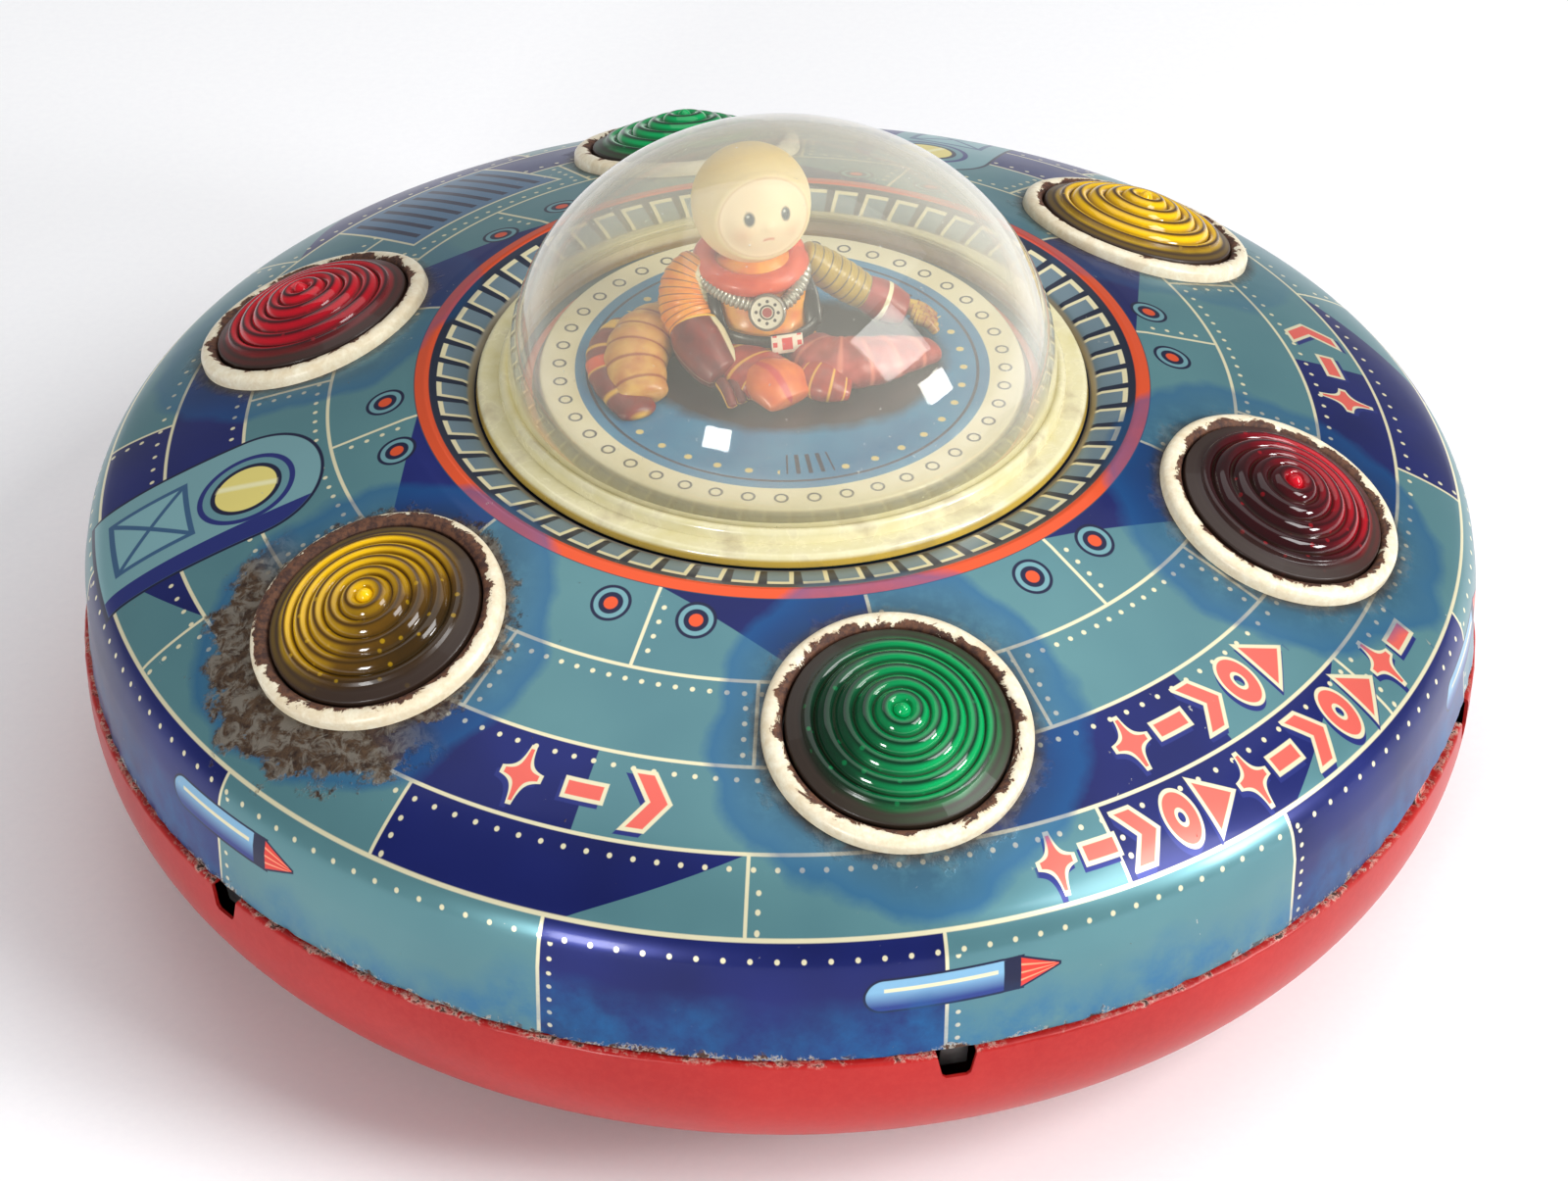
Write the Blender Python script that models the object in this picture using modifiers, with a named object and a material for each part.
"""Battery driven tin flying saucer with a domed cockpit, six ribbed lamp lenses and a swivelling drive turret.

Metres, +Z up.  The saucer stands on its wheels at Z = 0, the spin axis of the shells is the Z axis and the
front of the saucer faces -Y.
"""
import math

import bmesh
import bpy
from mathutils import Matrix, Vector

MM = 0.001
GAP = 0.3                      # clearance between neighbouring pieces, mm

# ---------------------------------------------------------------- driving dimensions, mm
SHEET = 0.7                    # tin plate as modelled
R_PAN = 101.5                  # half of the 203 mm (8 in) diameter
R_SHELL = 100.7
Z_SEAM = 31.3                  # lower edge of the upper shell
Z_PAN = 7.0                    # underside of the pan
R_PAN_CORNER = 20.0
R_SEAT_HOLE = 37.0             # opening under the dome
Z_SEAT = 65.8                  # dished seat of the dome flange
R_DOME = 38.8
H_DOME = 34.1
Z_DOME = 69.0                  # height of the dome's widest circle
R_FLANGE = 43.4
DOME_WALL = 1.2
Z_DECK = 69.0
R_LENS_RING = 72.3             # lens centres from the axis
Z_LENS = 61.1
LENS_TILT = 19.5               # degrees outward
LENS_FIRST = 12.2              # azimuth of the front lens, degrees from -Y towards +X
R_BEZEL = 17.85
R_BEZEL_HOLE = 14.9
R_LENS = 14.5
H_LENS = 6.2

R_WHEEL = 9.5
R_PIN = 0.9
REAR_WHEELS = (46.0, 40.0)     # x, y of the free wheels
TURRET = (0.0, -42.0)          # swivel axis of the drive turret
IDLER = (6.5, -30.742)
MOTOR = (8.671, -18.432)
MODULE = 0.5
Z_FRAME = 22.0                 # lower gearbox plate
Z_TOP_PLATE = 40.0
R_MOTOR = 12.0
BATTERY_Y = (4.3, 61.7)        # outside of the battery box
BATTERY_X = 28.2
BATTERY_TOP = 36.3
HINGE_Y = 3.0
HINGE_Z = 5.3
SWITCH = (52.0, -22.0)
LAMP = (40.0, 18.0)

# ---------------------------------------------------------------- scene set-up
for old in list(bpy.data.objects):
    bpy.data.objects.remove(old, do_unlink=True)

PARTS = bpy.data.collections.new("tin_flying_saucer")
CUTTERS = bpy.data.collections.new("cutters")
bpy.context.scene.collection.children.link(PARTS)
bpy.context.scene.collection.children.link(CUTTERS)

MATERIALS = {
    "litho_blue": ((0.17, 0.33, 0.36, 1.0), 0.30, 0.0),
    "pan_red": ((0.58, 0.035, 0.035, 1.0), 0.35, 0.0),
    "dome_clear": ((0.90, 0.89, 0.78, 1.0), 0.08, 0.0),
    "deck_litho": ((0.10, 0.33, 0.52, 1.0), 0.35, 0.0),
    "suit_litho": ((0.80, 0.30, 0.05, 1.0), 0.40, 0.0),
    "head_vinyl": ((0.86, 0.76, 0.55, 1.0), 0.45, 0.0),
    "lens_green": ((0.0, 0.27, 0.10, 1.0), 0.15, 0.0),
    "lens_red": ((0.32, 0.005, 0.02, 1.0), 0.15, 0.0),
    "lens_yellow": ((0.62, 0.40, 0.01, 1.0), 0.15, 0.0),
    "bezel_cream": ((0.85, 0.77, 0.60, 1.0), 0.40, 0.0),
    "steel": ((0.60, 0.60, 0.58, 1.0), 0.30, 1.0),
    "brass": ((0.75, 0.55, 0.22, 1.0), 0.28, 1.0),
    "gear_plastic": ((0.80, 0.78, 0.70, 1.0), 0.40, 0.0),
    "rubber_black": ((0.03, 0.03, 0.03, 1.0), 0.80, 0.0),
    "fibre_board": ((0.28, 0.13, 0.05, 1.0), 0.70, 0.0),
    "knob_black": ((0.02, 0.02, 0.02, 1.0), 0.35, 0.0),
    "bulb_glass": ((0.92, 0.92, 0.90, 1.0), 0.05, 0.0),
}


def material(name):
    """The part's Principled material, made once."""
    found = bpy.data.materials.get(name)
    if found:
        return found
    colour, roughness, metallic = MATERIALS[name]
    mat = bpy.data.materials.new(name)
    mat.use_nodes = True
    shader = mat.node_tree.nodes["Principled BSDF"]
    shader.inputs["Base Color"].default_value = colour
    shader.inputs["Roughness"].default_value = roughness
    shader.inputs["Metallic"].default_value = metallic
    mat.diffuse_color = colour
    return mat


def finish(obj, mat, smooth=False):
    """Link an object to the parts (or to the cutters when mat is None)."""
    if mat is None:
        CUTTERS.objects.link(obj)
        obj.hide_render = True
        obj.display_type = "WIRE"
        return obj
    PARTS.objects.link(obj)
    obj.data.materials.append(material(mat))
    if smooth:
        obj.data.shade_smooth()
        obj.data.set_sharp_from_angle(angle=math.radians(35))
    return obj


def point(x, y, z):
    return Vector((x * MM, y * MM, z * MM))


def turned(name, profile, steps, mat, at=(0.0, 0.0, 0.0), axis=None, closed=False, smooth=True):
    """A profile of (radius, height) turned about its own Z axis; it runs down the outer side."""
    mesh = bpy.data.meshes.new(name)
    bm = bmesh.new()
    verts = [bm.verts.new(point(r, 0.0, z)) for r, z in profile]
    for one, two in zip(verts, verts[1:]):
        bm.edges.new((one, two))
    if closed:
        bm.edges.new((verts[-1], verts[0]))
    bm.to_mesh(mesh)
    bm.free()
    obj = bpy.data.objects.new(name, mesh)
    finish(obj, mat)
    screw = obj.modifiers.new("Screw", "SCREW")
    screw.axis = "Z"
    screw.angle = math.tau
    screw.steps = steps
    screw.render_steps = steps
    screw.use_merge_vertices = True
    screw.merge_threshold = 0.00001
    screw.use_smooth_shade = smooth
    obj.location = point(*at)
    if axis is not None:
        obj.rotation_mode = "QUATERNION"
        obj.rotation_quaternion = Vector((0.0, 0.0, 1.0)).rotation_difference(Vector(axis))
    return obj


def box(name, low, high, mat, origin=None):
    """An upright box between two corners, with its origin at its middle or at the given point."""
    middle = [(a + b) / 2 for a, b in zip(low, high)]
    start = origin if origin is not None else middle
    bm = bmesh.new()
    bmesh.ops.create_cube(bm, size=1.0)
    size = [(b - a) * MM for a, b in zip(low, high)]
    bmesh.ops.scale(bm, vec=size, verts=bm.verts)
    bmesh.ops.translate(bm, vec=point(*[m - s for m, s in zip(middle, start)]), verts=bm.verts)
    mesh = bpy.data.meshes.new(name)
    bm.to_mesh(mesh)
    bm.free()
    obj = bpy.data.objects.new(name, mesh)
    finish(obj, mat)
    obj.location = point(*start)
    return obj


def rod(name, radius, start, end, mat, sides=16, origin=None):
    """A round rod between two points."""
    start = Vector(start)
    end = Vector(end)
    length = (end - start).length
    bm = bmesh.new()
    bmesh.ops.create_cone(bm, cap_ends=True, segments=sides, radius1=radius * MM, radius2=radius * MM,
                          depth=length * MM)
    turn = Vector((0.0, 0.0, 1.0)).rotation_difference(end - start).to_matrix().to_4x4()
    bmesh.ops.transform(bm, matrix=turn, verts=bm.verts)
    place = origin if origin is not None else tuple((start + end) / 2)
    bmesh.ops.translate(bm, vec=((start + end) / 2 - Vector(place)) * MM, verts=bm.verts)
    mesh = bpy.data.meshes.new(name)
    bm.to_mesh(mesh)
    bm.free()
    obj = bpy.data.objects.new(name, mesh)
    finish(obj, mat, smooth=mat is not None)
    obj.location = point(*place)
    return obj


def boolean(target, other, operation):
    mod = target.modifiers.new(operation.title(), "BOOLEAN")
    mod.operation = operation
    mod.solver = "EXACT"
    mod.object = other
    return target


def cut(target, *cutters):
    for other in cutters:
        boolean(target, other, "DIFFERENCE")
    return target


def join(target, *others):
    for other in others:
        boolean(target, other, "UNION")
    return target


def outline(name, loops, bottom, top, mat, at=(0.0, 0.0), axis=None):
    """A flat outline of closed loops of (x, y), standing from bottom to top about its own origin."""
    curve = bpy.data.curves.new(name, "CURVE")
    curve.dimensions = "2D"
    curve.fill_mode = "BOTH"
    curve.extrude = (top - bottom) / 2 * MM
    for loop in loops:
        spline = curve.splines.new("POLY")
        spline.points.add(len(loop) - 1)
        for spot, (x, y) in zip(spline.points, loop):
            spot.co = (x * MM, y * MM, 0.0, 1.0)
        spline.use_cyclic_u = True
    obj = bpy.data.objects.new(name, curve)
    finish(obj, mat)
    obj.location = point(at[0], at[1], (bottom + top) / 2)
    if axis is not None:
        obj.location = point(*at)
        obj.rotation_mode = "QUATERNION"
        obj.rotation_quaternion = Vector((0.0, 0.0, 1.0)).rotation_difference(Vector(axis))
    return obj


def as_mesh(obj):
    """The curve's solid as a mesh object in the same place, its caps welded."""
    bpy.context.view_layer.update()
    evaluated = obj.evaluated_get(bpy.context.evaluated_depsgraph_get())
    mesh = bpy.data.meshes.new_from_object(evaluated)
    bm = bmesh.new()
    bm.from_mesh(mesh)
    bmesh.ops.remove_doubles(bm, verts=bm.verts, dist=0.000001)
    bmesh.ops.recalc_face_normals(bm, faces=bm.faces)
    bm.to_mesh(mesh)
    bm.free()
    name = obj.name
    matrix = obj.matrix_world.copy()
    home = obj.users_collection[0]
    hidden = obj.hide_render
    bpy.data.objects.remove(obj, do_unlink=True)
    made = bpy.data.objects.new(name, mesh)
    home.objects.link(made)
    made.matrix_world = matrix
    if hidden:
        made.hide_render = True
        made.display_type = "WIRE"
    return made


def circle(radius, count, phase=0.0):
    return [(radius * math.cos(math.tau * i / count + phase), radius * math.sin(math.tau * i / count + phase))
            for i in range(count)]


def teeth(count, module, phase=0.0, tip=0.8, root=1.1, width=0.21):
    """Outline of a spur gear; one tooth points along the phase angle."""
    pitch = count * module / 2
    step = math.tau / count
    points = []
    for i in range(count):
        middle = phase + i * step
        for radius, share in ((pitch - root * module, -width * 1.45), (pitch + tip * module, -width * 0.55),
                              (pitch + tip * module, width * 0.55), (pitch - root * module, width * 1.45)):
            angle = middle + share * step
            points.append((radius * math.cos(angle), radius * math.sin(angle)))
    return points


def wire(name, points, radius, mat, sides=2):
    """A round wire through the points, with filled ends."""
    curve = bpy.data.curves.new(name, "CURVE")
    curve.dimensions = "3D"
    curve.bevel_depth = radius * MM
    curve.bevel_resolution = sides
    curve.use_fill_caps = True
    spline = curve.splines.new("POLY")
    spline.points.add(len(points) - 1)
    origin = Vector(points[0])
    for spot, place in zip(spline.points, points):
        spot.co = (*((Vector(place) - origin) * MM), 1.0)
    obj = bpy.data.objects.new(name, curve)
    finish(obj, mat)
    obj.location = origin * MM
    return obj


def polar(radius, azimuth):
    """Azimuth in degrees from -Y towards +X."""
    angle = math.radians(azimuth)
    return radius * math.sin(angle), -radius * math.cos(angle)


# ---------------------------------------------------------------- shells
shell_profile = [
    (R_SEAT_HOLE, Z_SEAT), (43.8, Z_SEAT), (49.4, 67.7), (51.6, 68.0), (76.4, 59.7), (87.8, 55.0), (94.4, 51.5),
    (98.2, 48.7), (100.1, 44.5), (R_SHELL, Z_SEAM),
]
upper_shell = turned("upper_shell", shell_profile, 48, "litho_blue")
tin = upper_shell.modifiers.new("Solidify", "SOLIDIFY")
tin.thickness = SHEET * MM
tin.offset = -1.0

tilt = math.radians(LENS_TILT)
lens_names = ("front", "right_front", "right_back", "back", "left_back", "left_front")
lens_colours = ("lens_green", "lens_red", "lens_yellow", "lens_green", "lens_red", "lens_yellow")
for index, (place, colour) in enumerate(zip(lens_names, lens_colours)):
    azimuth = LENS_FIRST + 60.0 * index
    x, y = polar(R_LENS_RING, azimuth)
    out_x, out_y = polar(1.0, azimuth)
    axis = (math.sin(tilt) * out_x, math.sin(tilt) * out_y, math.cos(tilt))
    cutter = turned(f"lens_hole_{place}", [(0, 5), (15.2, 5), (15.2, -5), (0, -5)], 24, None,
                    at=(x, y, Z_LENS), axis=axis, smooth=False)
    cut(upper_shell, cutter)
    turned(f"lens_{place}", [
        (0, H_LENS), (1.8, H_LENS - 0.3), (13.9, 2.4), (R_LENS, 1.7), (R_LENS, -2.0), (16.8, -2.0), (16.8, -2.9),
        (13.3, -2.9), (13.3, 1.2), (0, H_LENS - 1.5),
    ], 18, colour, at=(x, y, Z_LENS), axis=axis)
    turned(f"bezel_{place}", [
        (16.2, 2.2), (R_BEZEL, 1.0), (R_BEZEL, GAP), (R_BEZEL_HOLE, GAP), (R_BEZEL_HOLE, 1.9),
    ], 22, "bezel_cream", at=(x, y, Z_LENS), axis=axis, closed=True)

rim = [(99.4, 34.6), (99.4, 31.4), (100.2, Z_SEAM - GAP), (R_PAN, 30.6), (R_PAN, Z_PAN + R_PAN_CORNER)]
corner = [(R_PAN - R_PAN_CORNER * (1 - math.cos(a)), Z_PAN + R_PAN_CORNER * (1 - math.sin(a)))
          for a in [math.radians(22.5 * k) for k in range(1, 5)]]
lower_pan = turned("lower_pan", rim + corner + [(0, Z_PAN)], 48, "pan_red")
tin = lower_pan.modifiers.new("Solidify", "SOLIDIFY")
tin.thickness = SHEET * MM
tin.offset = -1.0

pan_holes = [
    rod("turret_opening", 21.5, (*TURRET, 3), (*TURRET, 12), None, sides=36),
    box("battery_opening", (-26.5, 7.0, 3), (26.5, 59.0, 12), None),
    box("switch_slot", (SWITCH[0] - 2.5, SWITCH[1] - 6.0, 3), (SWITCH[0] + 2.5, SWITCH[1] + 6.0, 12), None),
]
for side in (-1, 1):
    x = side * REAR_WHEELS[0]
    y = REAR_WHEELS[1]
    pan_holes.append(box(f"wheel_opening_{side + 1}", (x - 3.6, y - 10.5, 3), (x + 3.6, y + 10.5, 12), None))
cut(lower_pan, *pan_holes)
for index in range(6):
    azimuth = 13.2 + 60.0 * index
    notch = outline(f"tab_notch_{index}", [[(-2.9, 2.5), (-2.9, 0.2), (-1.9, -4.2), (1.9, -4.2), (2.9, 0.2),
                                            (2.9, 2.5)]], -3.0, 3.0, None)
    x, y = polar(100.6, azimuth)
    notch.matrix_world = (Matrix.Translation(point(x, y, 31.0))
                          @ Matrix.Rotation(math.radians(azimuth), 4, "Z")
                          @ Matrix.Rotation(math.radians(90), 4, "X"))
    cut(lower_pan, as_mesh(notch))

# ---------------------------------------------------------------- dome, deck and pilot
dome_outer = [(R_DOME * math.sin(a), Z_DOME + H_DOME * math.cos(a))
              for a in [math.radians(18 * k) for k in range(0, 6)]]
dome_inner = [((R_DOME - DOME_WALL) * math.sin(a), Z_DOME + (H_DOME - DOME_WALL) * math.cos(a))
              for a in [math.radians(18 * k) for k in range(5, -1, -1)]]
dome_flange = [(R_DOME, 68.2), (39.8, 67.5), (42.9, 67.3), (R_FLANGE, 66.8), (R_FLANGE, Z_SEAT + GAP),
               (R_DOME - DOME_WALL, Z_SEAT + GAP)]
turned("dome", dome_outer + dome_flange + dome_inner, 36, "dome_clear")

turned("cockpit_deck", [
    (0, Z_DECK), (34.2, Z_DECK), (35.2, 66.6), (36.5, 66.3), (36.5, 64.5), (41.0, 64.5), (41.0, 63.8), (35.8, 63.8),
    (35.8, 65.7), (34.5, 65.9), (33.7, 68.3), (0, 68.3),
], 28, "deck_litho")


def blob(name, centre, radii, mat, turn=(0.0, 0.0, 0.0), segments=9, rings=6):
    """An ellipsoid with its own turn, in degrees."""
    bm = bmesh.new()
    bmesh.ops.create_uvsphere(bm, u_segments=segments, v_segments=rings, radius=1.0)
    bmesh.ops.scale(bm, vec=[r * MM for r in radii], verts=bm.verts)
    mesh = bpy.data.meshes.new(name)
    bm.to_mesh(mesh)
    bm.free()
    obj = bpy.data.objects.new(name, mesh)
    finish(obj, mat, smooth=mat is not None)
    obj.location = point(*centre)
    obj.rotation_euler = [math.radians(t) for t in turn]
    return obj


pilot_body = blob("pilot_body", (-4.0, 6.5, 76.0), (7.6, 5.4, 6.4), "suit_litho", turn=(12, 0, 8))
join(
    pilot_body,
    blob("pilot_hips", (-4.0, 4.0, 72.4), (12.4, 7.0, 3.1), None),
    blob("pilot_right_leg", (1.0, -3.6, 72.2), (5.4, 8.6, 2.9), None, turn=(0, 0, 12)),
    blob("pilot_left_leg", (11.5, 0.5, 72.0), (11.4, 5.0, 2.7), None, turn=(0, 0, 14)),
    blob("pilot_right_arm", (-11.9, 2.6, 76.0), (4.0, 4.6, 6.6), None, turn=(24, 12, 0)),
    blob("pilot_right_hand", (-9.0, -4.6, 71.9), (4.2, 5.8, 2.5), None, turn=(0, 0, -30)),
    blob("pilot_left_arm", (9.0, 9.0, 76.0), (11.6, 3.2, 3.4), None, turn=(0, 24, 10)),
    blob("pilot_boot", (-19.6, 2.0, 72.5), (6.2, 9.2, 3.2), None, turn=(0, 0, 18)),
)
blob("pilot_head", (-4.6, 9.2, 90.4), (8.4, 8.4, 7.7), "head_vinyl", segments=14, rings=9)

# ---------------------------------------------------------------- battery bay and switch
battery_box = box("battery_box", (-BATTERY_X, BATTERY_Y[0], 8.0), (BATTERY_X, BATTERY_Y[1], BATTERY_TOP), "steel")
cut(battery_box, box("battery_room", (-BATTERY_X + SHEET, BATTERY_Y[0] + SHEET, 4.0),
                     (BATTERY_X - SHEET, BATTERY_Y[1] - SHEET, BATTERY_TOP - SHEET), None))
box("contact_plate", (-20.0, BATTERY_Y[0] + SHEET + GAP, 14.0), (20.0, BATTERY_Y[0] + SHEET + GAP + 0.5, 30.0),
    "brass")
for side, label in ((-1, "left"), (1, "right")):
    coil = []
    turns = 2.5
    count = 21
    for i in range(count):
        t = i / (count - 1)
        radius = 5.4 - 2.6 * t
        angle = math.tau * turns * t
        coil.append((side * 13.7 + radius * math.cos(angle), BATTERY_Y[1] - SHEET - 0.9 - 4.4 * t,
                     22.0 + radius * math.sin(angle)))
    wire(f"battery_spring_{label}", coil, 0.45, "steel", sides=1)

battery_door = box("battery_door", (-29.5, HINGE_Y + 0.9, 5.7), (29.5, 62.4, 6.6), "pan_red",
                   origin=(0.0, HINGE_Y, HINGE_Z))
join(battery_door, rod("door_barrel", 1.3, (-26.0, HINGE_Y, HINGE_Z), (26.0, HINGE_Y, HINGE_Z), None, sides=16))
cut(battery_door, rod("door_barrel_bore", 0.8, (-30.0, HINGE_Y, HINGE_Z), (30.0, HINGE_Y, HINGE_Z), None, sides=12))
wire("door_hinge_wire", [(-31.5, HINGE_Y, 6.7), (-31.5, HINGE_Y, HINGE_Z + 0.4), (-31.1, HINGE_Y, HINGE_Z),
                         (31.1, HINGE_Y, HINGE_Z), (31.5, HINGE_Y, HINGE_Z + 0.4), (31.5, HINGE_Y, 6.7)],
     0.45, "steel")
door_catch = box("door_catch", (-6.0, 58.0, 4.6), (6.0, 64.6, 5.4), "steel", origin=(0.0, HINGE_Y, HINGE_Z))

switch_knob = box("switch_knob", (SWITCH[0] - 1.9, SWITCH[1] - 4.9, 5.0), (SWITCH[0] + 1.9, SWITCH[1] - 1.1, 9.2),
                  "knob_black", origin=(SWITCH[0], SWITCH[1] - 3.0, 7.0))
join(
    switch_knob,
    box("knob_cap", (SWITCH[0] - 3.6, SWITCH[1] - 5.8, 4.4), (SWITCH[0] + 3.6, SWITCH[1] - 0.2, 6.6), None),
    box("knob_slider", (SWITCH[0] - 4.0, SWITCH[1] - 6.2, 8.1), (SWITCH[0] + 4.0, SWITCH[1] + 0.2, 9.3), None),
)
switch_plate = box("switch_plate", (SWITCH[0] - 6.0, SWITCH[1] - 13.0, 10.0), (SWITCH[0] + 6.0, SWITCH[1] + 13.0, 11.2),
                   "fibre_board")
join(
    switch_plate,
    box("switch_foot_a", (SWITCH[0] - 6.0, SWITCH[1] - 13.0, 8.0), (SWITCH[0] + 6.0, SWITCH[1] - 10.0, 10.6), None),
    box("switch_foot_b", (SWITCH[0] - 6.0, SWITCH[1] + 10.0, 8.0), (SWITCH[0] + 6.0, SWITCH[1] + 13.0, 10.6), None),
)

# ---------------------------------------------------------------- gearbox plates and motor
frame_lower = box("frame_lower", (-28.0, -68.0, Z_FRAME), (28.0, -8.0, Z_FRAME + 1.0), "steel")
frame_upper = box("frame_upper", (-26.0, -66.0, Z_TOP_PLATE), (26.0, -6.4, Z_TOP_PLATE + 1.0), "steel")
for x in (-25.0, 25.0):
    for y in (-64.0, -12.0):
        key = f"{int(x > 0)}{int(y > -30)}"
        join(frame_lower, box(f"leg_low_{key}", (x - 3.0, y - 0.9, 8.0), (x + 3.0, y + 0.9, Z_FRAME + 0.5), None))
        join(frame_upper, box(f"leg_high_{key}", (x - 0.6, y - 1.6, Z_FRAME + 1.3), (x + 0.6, y + 1.6, Z_TOP_PLATE + 0.5),
                              None))
cut(
    frame_lower,
    rod("stem_bearing", 3.9, (*TURRET, 18), (*TURRET, 26), None, sides=24),
    rod("idler_bearing_low", 1.4, (*IDLER, 18), (*IDLER, 26), None, sides=12),
)
cut(
    frame_upper,
    rod("shaft_bearing", 1.6, (*TURRET, 38), (*TURRET, 43), None, sides=12),
    rod("idler_bearing_high", 1.4, (*IDLER, 38), (*IDLER, 43), None, sides=12),
    rod("motor_window", 3.0, (*MOTOR, 38), (*MOTOR, 43), None, sides=16),
)
turned("motor_can", [
    (0, 61.6), (3.0, 61.6), (3.2, 60.4), (R_MOTOR, 60.0), (R_MOTOR, 41.4), (2.4, 41.4), (2.4, 43.5), (0, 43.5),
], 24, "steel", at=(*MOTOR, 0))

# ---------------------------------------------------------------- gear train
to_idler = math.atan2(IDLER[1] - TURRET[1], IDLER[0] - TURRET[0])
to_motor = math.atan2(MOTOR[1] - IDLER[1], MOTOR[0] - IDLER[0])
half_tooth = math.pi / 40
outline("drive_gear", [teeth(40, MODULE, to_idler + half_tooth), circle(1.5, 14)], 26.0, 29.0, "gear_plastic",
        at=TURRET)
outline("idler_pinion", [teeth(12, MODULE, to_idler + math.pi), circle(1.3, 12)], 25.0, 31.7, "brass", at=IDLER)
outline("idler_gear", [teeth(40, MODULE, to_motor + half_tooth), circle(1.3, 12)], 32.0, 35.0, "gear_plastic",
        at=IDLER)
outline("motor_pinion", [teeth(10, MODULE, to_motor + math.pi), circle(1.2, 10)], 31.0, 36.5, "brass", at=MOTOR)
rod("idler_arbor", 1.0, (*IDLER, 21.3), (*IDLER, 41.1), "steel", sides=12, origin=(*IDLER, 33.0))
rod("motor_shaft", 0.9, (*MOTOR, 30.6), (*MOTOR, 43.1), "steel", sides=10, origin=(*MOTOR, 33.0))
rod("drive_shaft", 1.2, (*TURRET, 17.0), (*TURRET, 42.0), "steel", sides=12, origin=(*TURRET, 27.5))
outline("turret_pinion", [teeth(12, 4.4 / 12, math.pi / 12, tip=0.75, root=0.75, width=0.2)], 12.6, 16.7, "brass", at=TURRET)

# ---------------------------------------------------------------- drive turret
turret = turned("turret", [
    (19.0, 20.6), (19.0, 19.6), (2.0, 19.6), (2.0, 25.2), (3.5, 25.2), (3.5, 20.6),
][::-1], 32, "steel", at=(*TURRET, 0), closed=True)
for side in (-1, 1):
    low = (min(side * 7.0, side * 8.0), TURRET[1] - 5.0, 6.6)
    high = (max(side * 7.0, side * 8.0), TURRET[1] + 5.0, 20.1)
    join(turret, box(f"turret_cheek_{side + 1}", low, high, None))
cut(turret, rod("axle_bore", 1.3, (-12, TURRET[1], R_WHEEL), (12, TURRET[1], R_WHEEL), None, sides=12))
turned("turret_clip", [(6.2, 24.3), (6.2, 23.3), (3.8, 23.3), (3.8, 24.3)], 20, "steel", at=(*TURRET, 0), closed=True)
rod("drive_axle", 1.0, (-16.0, TURRET[1], R_WHEEL), (16.0, TURRET[1], R_WHEEL), "steel", sides=12)

crown = turned("crown_gear", [
    (4.3, 0.0), (6.3, 0.0), (6.3, -2.8), (1.3, -2.8), (1.3, -1.3), (4.3, -1.3),
], 30, "gear_plastic", at=(2.27, TURRET[1], R_WHEEL), axis=(-1.0, 0.0, 0.0), closed=True)
slots = []
for i in range(30):
    middle = math.tau * (i + 0.5) / 30
    for radius, half in ((4.05, -0.39), (8.0, -0.39), (8.0, 0.39), (4.05, 0.39)):
        x = radius * math.cos(middle) - half * math.sin(middle)
        y = radius * math.sin(middle) + half * math.cos(middle)
        slots.append((x, y))
slotter = outline("crown_slots", [slots], -1.25, 1.25, None)
slotter.rotation_mode = "QUATERNION"
slotter.location = point(2.32, TURRET[1], R_WHEEL)
slotter.rotation_quaternion = Vector((0.0, 0.0, 1.0)).rotation_difference(Vector((-1.0, 0.0, 0.0)))
cut(crown, as_mesh(slotter))

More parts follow.
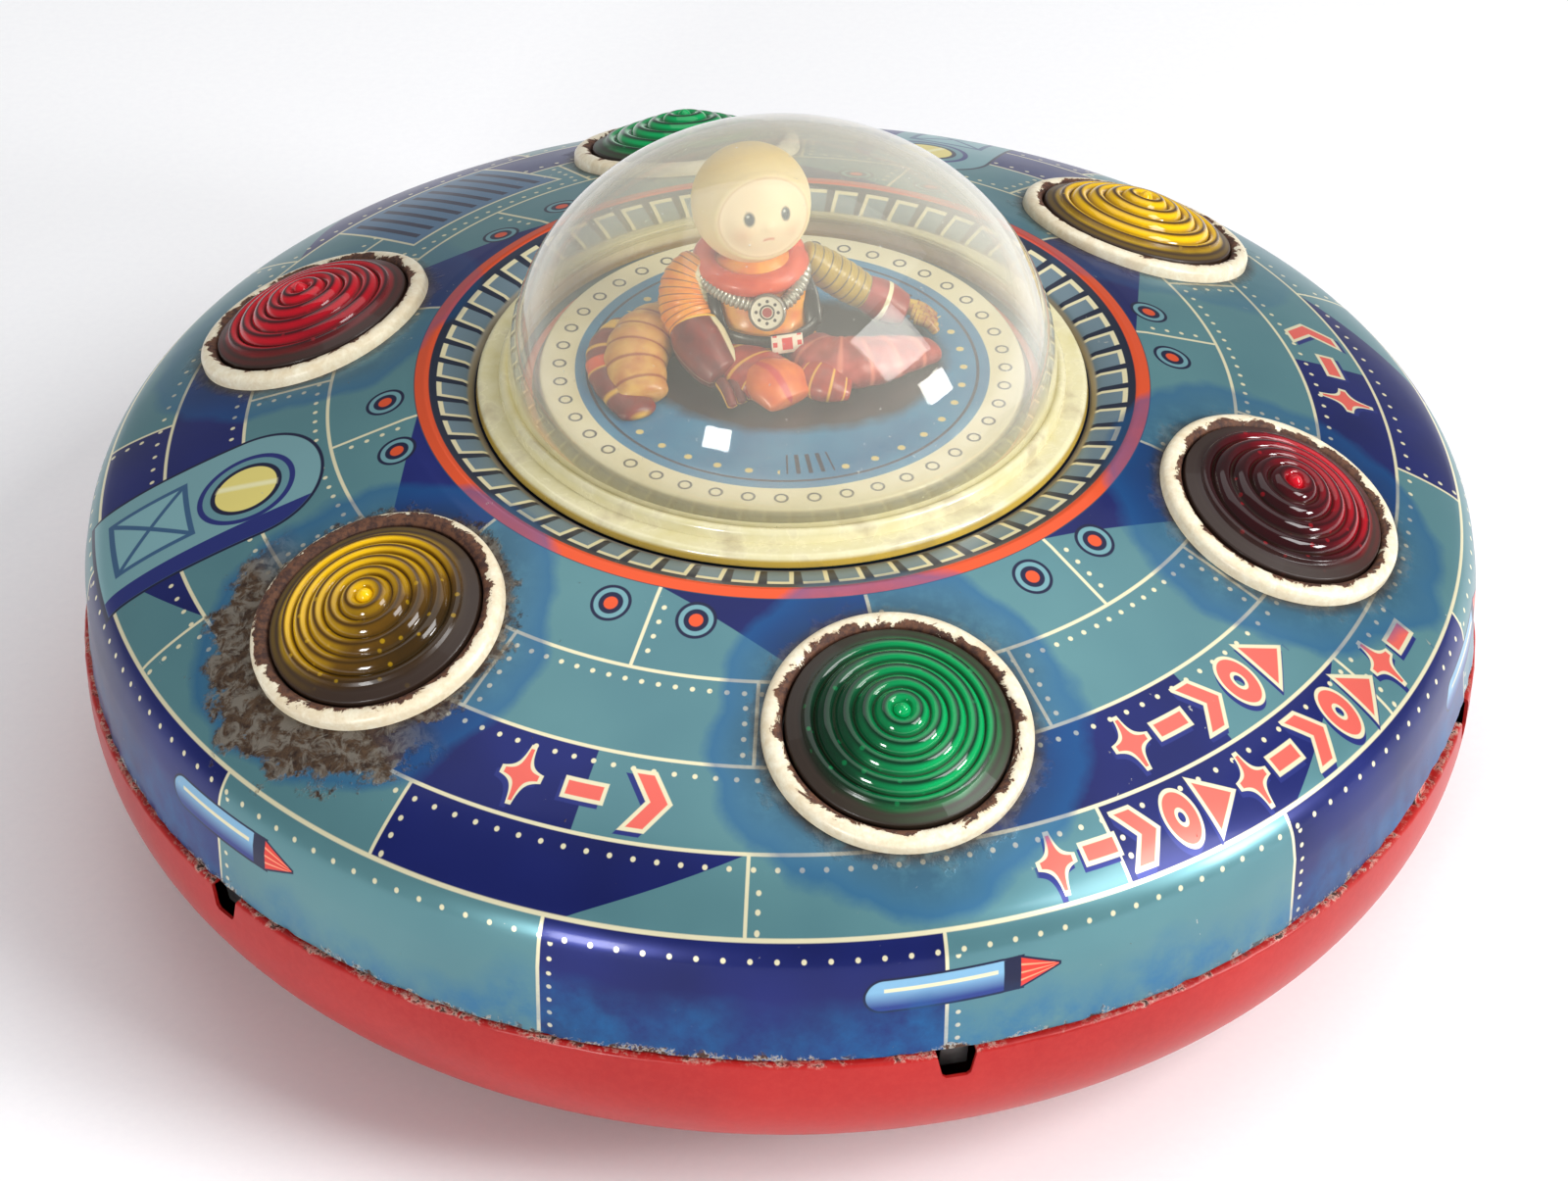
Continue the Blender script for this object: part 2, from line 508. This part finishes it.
for side, label in ((-1, "left"), (1, "right")):
    turned(f"drive_wheel_{label}", [
        (1.3, 2.5), (3.0, 2.5), (3.6, 1.6), (6.2, 1.6), (7.0, 2.3), (7.0, -2.3), (6.2, -1.6), (3.6, -1.6), (3.0, -2.5),
        (1.3, -2.5),
    ], 16, "steel", at=(side * 12.4, TURRET[1], R_WHEEL), axis=(1.0, 0.0, 0.0), closed=True)
    turned(f"drive_tyre_{label}", [
        (8.9, 2.3), (R_WHEEL, 1.5), (R_WHEEL, -1.5), (8.9, -2.3), (7.3, -2.3), (7.3, 2.3),
    ], 24, "rubber_black", at=(side * 12.4, TURRET[1], R_WHEEL), axis=(1.0, 0.0, 0.0), closed=True)

# ---------------------------------------------------------------- free rear wheels
for side, label in ((-1, "left"), (1, "right")):
    x = side * REAR_WHEELS[0]
    y = REAR_WHEELS[1]
    bracket = box(f"wheel_bracket_{label}", (x - 5.6, y - 6.0, 8.0), (x + 5.6, y + 6.0, 21.4), "steel")
    cut(
        bracket,
        box(f"bracket_room_{label}", (x - 4.8, y - 8.0, 5.0), (x + 4.8, y + 8.0, 20.6), None),
        rod(f"bracket_bore_{label}", 1.2, (x - 8, y, R_WHEEL), (x + 8, y, R_WHEEL), None, sides=12),
    )
    rod(f"wheel_pin_{label}", R_PIN, (x - 6.6, y, R_WHEEL), (x + 6.6, y, R_WHEEL), "steel", sides=12)
    turned(f"rear_wheel_{label}", [
        (1.2, 3.0), (3.2, 3.0), (3.8, 2.4), (8.9, 2.4), (R_WHEEL, 1.7), (R_WHEEL, -1.7), (8.9, -2.4), (3.8, -2.4),
        (3.2, -3.0), (1.2, -3.0),
    ], 24, "rubber_black", at=(x, y, R_WHEEL), axis=(1.0, 0.0, 0.0), closed=True)

# ---------------------------------------------------------------- lamps under the deck
lamp_strip = box("lamp_strip", (-46.0, LAMP[1] - 4.0, BATTERY_TOP + GAP), (46.0, LAMP[1] + 4.0, BATTERY_TOP + GAP + 1.0),
                 "fibre_board")
for side, label in ((-1, "left"), (1, "right")):
    at = (side * LAMP[0], LAMP[1], 0)
    turned(f"lamp_socket_{label}", [
        (4.4, 47.0), (5.2, 47.0), (5.2, 38.9), (6.6, 38.6), (6.6, 37.9), (4.4, 37.9),
    ], 14, "brass", at=at, closed=True)
    turned(f"lamp_{label}", [
        (0, 58.0), (2.6, 57.2), (4.2, 54.6), (4.0, 48.0), (4.0, 40.0), (1.4, 38.6), (0, 38.6),
    ], 14, "bulb_glass", at=at)
